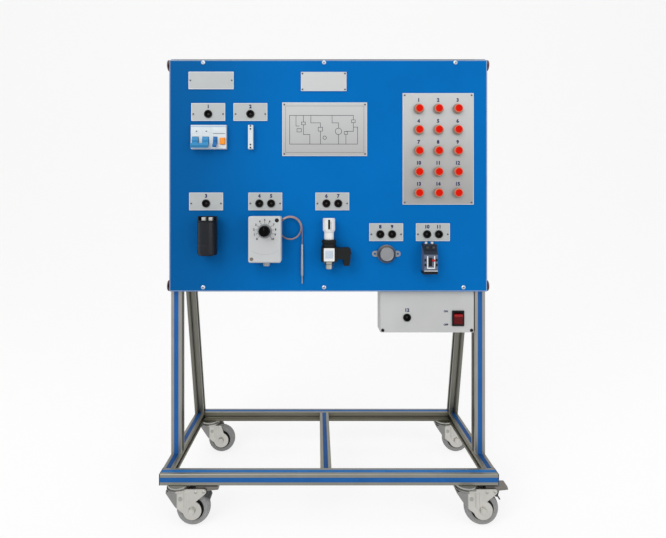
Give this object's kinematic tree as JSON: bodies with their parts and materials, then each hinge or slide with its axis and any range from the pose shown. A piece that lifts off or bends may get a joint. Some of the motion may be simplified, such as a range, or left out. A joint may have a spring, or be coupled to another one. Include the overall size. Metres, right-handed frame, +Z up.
{
  "type": "air conditioning fault trainer",
  "caption": "Castor stand of slotted aluminium profile with an upright panel of refrigeration controls, signal sockets and fault push buttons, and a power box below it.",
  "frame": {"origin": "on the floor, under the middle of the base frame", "axes": "+X to the right seen from the front, +Y from the front to the back, +Z up"},
  "size_m": [0.6359, 0.281, 0.8465],
  "materials": {
    "profile": "extruded, satin",
    "strip_blue": "extruded, satin",
    "cap_dark": "moulded, matt",
    "knob_brown": "moulded, satin",
    "zinc": "zinc plated, pressed",
    "panel_blue": "baked enamel, fine texture",
    "cover_grey": "powder coat",
    "screw_zinc": "zinc plated",
    "plate": "brushed, anodised",
    "socket_black": "moulded, glossy",
    "bezel_grey": "moulded, satin",
    "breaker_white": "moulded, fine texture",
    "handle_blue": "moulded, satin",
    "handle_navy": "moulded, satin",
    "test_orange": "moulded, satin",
    "auxiliary_white": "moulded, fine texture",
    "rail_zinc": "zinc plated; relay blocks moulded",
    "capacitor_black": "moulded, glossy",
    "thermostat_white": "moulded, fine texture",
    "knob_black": "moulded, matt",
    "copper": "drawn copper",
    "switch_black": "moulded; plated port",
    "cap_white": "moulded, satin",
    "plug_black": "moulded, satin",
    "disc_aluminium": "pressed, satin",
    "relay_grey": "moulded, satin",
    "reset_red": "moulded",
    "box_grey": "powder coat",
    "box_front": "powder coat",
    "fitting_black": "moulded",
    "rocker_red": "moulded, glossy",
    "supply_green": "board, wound transformer",
    "button_red": "moulded, satin",
    "fork_steel": "zinc plated, pressed",
    "tyre_grey": "moulded rubber on a plastic hub",
    "pedal_grey": "pressed, plated"
  },
  "bodies": {
    "trainer": {"base_rails": "profile", "posts": "profile", "struts": "profile", "cross_rails": "profile", "cover_strips": "strip_blue", "end_caps": "cap_dark", "frame_bolts": "knob_brown", "castor_races": "zinc", "front_panel": "panel_blue", "rear_cover": "cover_grey", "panel_screws": "screw_zinc", "label_plates": "plate", "signal_sockets": "socket_black", "button_bezels": "bezel_grey", "breaker_housing": "breaker_white", "auxiliary_contact": "auxiliary_white", "wiring_rail": "rail_zinc", "start_capacitor": "capacitor_black", "thermostat_housing": "thermostat_white", "capillary_sensor": "copper", "pressure_switch_body": "switch_black", "pressure_switch_plug": "plug_black", "disc_thermostat": "disc_aluminium", "overload_relay": "relay_grey", "power_box_shell": "box_grey", "power_box_front": "box_front", "power_fittings": "fitting_black", "power_supply": "supply_green"},
    "castor_fork_fl": {"castor_fork_fl": "fork_steel"},
    "castor_wheel_fl": {"castor_wheel_fl": "tyre_grey"},
    "brake_pedal_fl": {"brake_pedal_fl": "pedal_grey"},
    "castor_fork_fr": {"castor_fork_fr": "fork_steel"},
    "castor_wheel_fr": {"castor_wheel_fr": "tyre_grey"},
    "brake_pedal_fr": {"brake_pedal_fr": "pedal_grey"},
    "castor_fork_rl": {"castor_fork_rl": "fork_steel"},
    "castor_wheel_rl": {"castor_wheel_rl": "tyre_grey"},
    "castor_fork_rr": {"castor_fork_rr": "fork_steel"},
    "castor_wheel_rr": {"castor_wheel_rr": "tyre_grey"},
    "fault_button_01": {"fault_button_01": "button_red"},
    "fault_button_02": {"fault_button_02": "button_red"},
    "fault_button_03": {"fault_button_03": "button_red"},
    "fault_button_04": {"fault_button_04": "button_red"},
    "fault_button_05": {"fault_button_05": "button_red"},
    "fault_button_06": {"fault_button_06": "button_red"},
    "fault_button_07": {"fault_button_07": "button_red"},
    "fault_button_08": {"fault_button_08": "button_red"},
    "fault_button_09": {"fault_button_09": "button_red"},
    "fault_button_10": {"fault_button_10": "button_red"},
    "fault_button_11": {"fault_button_11": "button_red"},
    "fault_button_12": {"fault_button_12": "button_red"},
    "fault_button_13": {"fault_button_13": "button_red"},
    "fault_button_14": {"fault_button_14": "button_red"},
    "fault_button_15": {"fault_button_15": "button_red"},
    "breaker_handle": {"breaker_handle": "handle_blue"},
    "rcd_handle": {"rcd_handle": "handle_navy"},
    "rcd_test_button": {"rcd_test_button": "test_orange"},
    "thermostat_knob": {"thermostat_knob": "knob_black"},
    "pressure_switch_cap": {"pressure_switch_cap": "cap_white"},
    "relay_reset_button": {"relay_reset_button": "reset_red"},
    "power_rocker": {"power_rocker": "rocker_red"}
  },
  "joints": [
    {"name": "castor_swivel_fl", "type": "hinge", "parent": "trainer", "child": "castor_fork_fl", "pos_m": [-0.268, -0.12, 0.065], "axis": [0, 0, 1], "continuous": true},
    {"name": "castor_roll_fl", "type": "hinge", "parent": "castor_fork_fl", "child": "castor_wheel_fl", "pos_m": [-0.241, -0.12, 0.03], "axis": [0, 1, 0], "continuous": true},
    {"name": "brake_press_fl", "type": "hinge", "parent": "castor_fork_fl", "child": "brake_pedal_fl", "pos_m": [-0.2205, -0.12, 0.0628], "axis": [0, 1, 0], "range_deg": [0, 8]},
    {"name": "castor_swivel_fr", "type": "hinge", "parent": "trainer", "child": "castor_fork_fr", "pos_m": [0.244, -0.12, 0.065], "axis": [0, 0, 1], "continuous": true},
    {"name": "castor_roll_fr", "type": "hinge", "parent": "castor_fork_fr", "child": "castor_wheel_fr", "pos_m": [0.271, -0.12, 0.03], "axis": [0, 1, 0], "continuous": true},
    {"name": "brake_press_fr", "type": "hinge", "parent": "castor_fork_fr", "child": "brake_pedal_fr", "pos_m": [0.2915, -0.12, 0.0628], "axis": [0, 1, 0], "range_deg": [0, 8]},
    {"name": "castor_swivel_rl", "type": "hinge", "parent": "trainer", "child": "castor_fork_rl", "pos_m": [-0.268, 0.12, 0.065], "axis": [0, 0, 1], "continuous": true},
    {"name": "castor_roll_rl", "type": "hinge", "parent": "castor_fork_rl", "child": "castor_wheel_rl", "pos_m": [-0.241, 0.12, 0.03], "axis": [0, 1, 0], "continuous": true},
    {"name": "castor_swivel_rr", "type": "hinge", "parent": "trainer", "child": "castor_fork_rr", "pos_m": [0.271, 0.12, 0.065], "axis": [0, 0, 1], "continuous": true},
    {"name": "castor_roll_rr", "type": "hinge", "parent": "castor_fork_rr", "child": "castor_wheel_rr", "pos_m": [0.298, 0.12, 0.03], "axis": [0, 1, 0], "continuous": true},
    {"name": "fault_press_01", "type": "slide", "parent": "trainer", "child": "fault_button_01", "axis": [0, 1, 0], "range_m": [0, 0.0026], "stiffness_N_per_m": 300, "springref_m": -0.002},
    {"name": "fault_press_02", "type": "slide", "parent": "trainer", "child": "fault_button_02", "axis": [0, 1, 0], "range_m": [0, 0.0026], "stiffness_N_per_m": 300, "springref_m": -0.002},
    {"name": "fault_press_03", "type": "slide", "parent": "trainer", "child": "fault_button_03", "axis": [0, 1, 0], "range_m": [0, 0.0026], "stiffness_N_per_m": 300, "springref_m": -0.002},
    {"name": "fault_press_04", "type": "slide", "parent": "trainer", "child": "fault_button_04", "axis": [0, 1, 0], "range_m": [0, 0.0026], "stiffness_N_per_m": 300, "springref_m": -0.002},
    {"name": "fault_press_05", "type": "slide", "parent": "trainer", "child": "fault_button_05", "axis": [0, 1, 0], "range_m": [0, 0.0026], "stiffness_N_per_m": 300, "springref_m": -0.002},
    {"name": "fault_press_06", "type": "slide", "parent": "trainer", "child": "fault_button_06", "axis": [0, 1, 0], "range_m": [0, 0.0026], "stiffness_N_per_m": 300, "springref_m": -0.002},
    {"name": "fault_press_07", "type": "slide", "parent": "trainer", "child": "fault_button_07", "axis": [0, 1, 0], "range_m": [0, 0.0026], "stiffness_N_per_m": 300, "springref_m": -0.002},
    {"name": "fault_press_08", "type": "slide", "parent": "trainer", "child": "fault_button_08", "axis": [0, 1, 0], "range_m": [0, 0.0026], "stiffness_N_per_m": 300, "springref_m": -0.002},
    {"name": "fault_press_09", "type": "slide", "parent": "trainer", "child": "fault_button_09", "axis": [0, 1, 0], "range_m": [0, 0.0026], "stiffness_N_per_m": 300, "springref_m": -0.002},
    {"name": "fault_press_10", "type": "slide", "parent": "trainer", "child": "fault_button_10", "axis": [0, 1, 0], "range_m": [0, 0.0026], "stiffness_N_per_m": 300, "springref_m": -0.002},
    {"name": "fault_press_11", "type": "slide", "parent": "trainer", "child": "fault_button_11", "axis": [0, 1, 0], "range_m": [0, 0.0026], "stiffness_N_per_m": 300, "springref_m": -0.002},
    {"name": "fault_press_12", "type": "slide", "parent": "trainer", "child": "fault_button_12", "axis": [0, 1, 0], "range_m": [0, 0.0026], "stiffness_N_per_m": 300, "springref_m": -0.002},
    {"name": "fault_press_13", "type": "slide", "parent": "trainer", "child": "fault_button_13", "axis": [0, 1, 0], "range_m": [0, 0.0026], "stiffness_N_per_m": 300, "springref_m": -0.002},
    {"name": "fault_press_14", "type": "slide", "parent": "trainer", "child": "fault_button_14", "axis": [0, 1, 0], "range_m": [0, 0.0026], "stiffness_N_per_m": 300, "springref_m": -0.002},
    {"name": "fault_press_15", "type": "slide", "parent": "trainer", "child": "fault_button_15", "axis": [0, 1, 0], "range_m": [0, 0.0026], "stiffness_N_per_m": 300, "springref_m": -0.002},
    {"name": "breaker_toggle", "type": "hinge", "parent": "trainer", "child": "breaker_handle", "pos_m": [-0.224, -0.0796, 0.688], "axis": [-1, 0, 0], "range_deg": [0, 84]},
    {"name": "rcd_toggle", "type": "hinge", "parent": "trainer", "child": "rcd_handle", "pos_m": [-0.211, -0.0796, 0.688], "axis": [-1, 0, 0], "range_deg": [0, 84]},
    {"name": "rcd_test_press", "type": "slide", "parent": "trainer", "child": "rcd_test_button", "axis": [0, 1, 0], "range_m": [0, 0.0015], "stiffness_N_per_m": 400, "springref_m": -0.0015},
    {"name": "thermostat_turn", "type": "hinge", "parent": "trainer", "child": "thermostat_knob", "pos_m": [-0.1152, -0.12, 0.52], "axis": [0, 1, 0], "range_deg": [-135, 135]},
    {"name": "pressure_cap_turn", "type": "hinge", "parent": "trainer", "child": "pressure_switch_cap", "pos_m": [0.001, -0.089, 0.53], "axis": [0, 0, 1], "continuous": true},
    {"name": "relay_reset_press", "type": "slide", "parent": "trainer", "child": "relay_reset_button", "axis": [0, 1, 0], "range_m": [0, 0.0015], "stiffness_N_per_m": 300, "springref_m": -0.0015},
    {"name": "power_rocker_tip", "type": "hinge", "parent": "trainer", "child": "power_rocker", "pos_m": [0.2479, -0.061, 0.3512], "axis": [-1, 0, 0], "range_deg": [0, 18]}
  ]
}
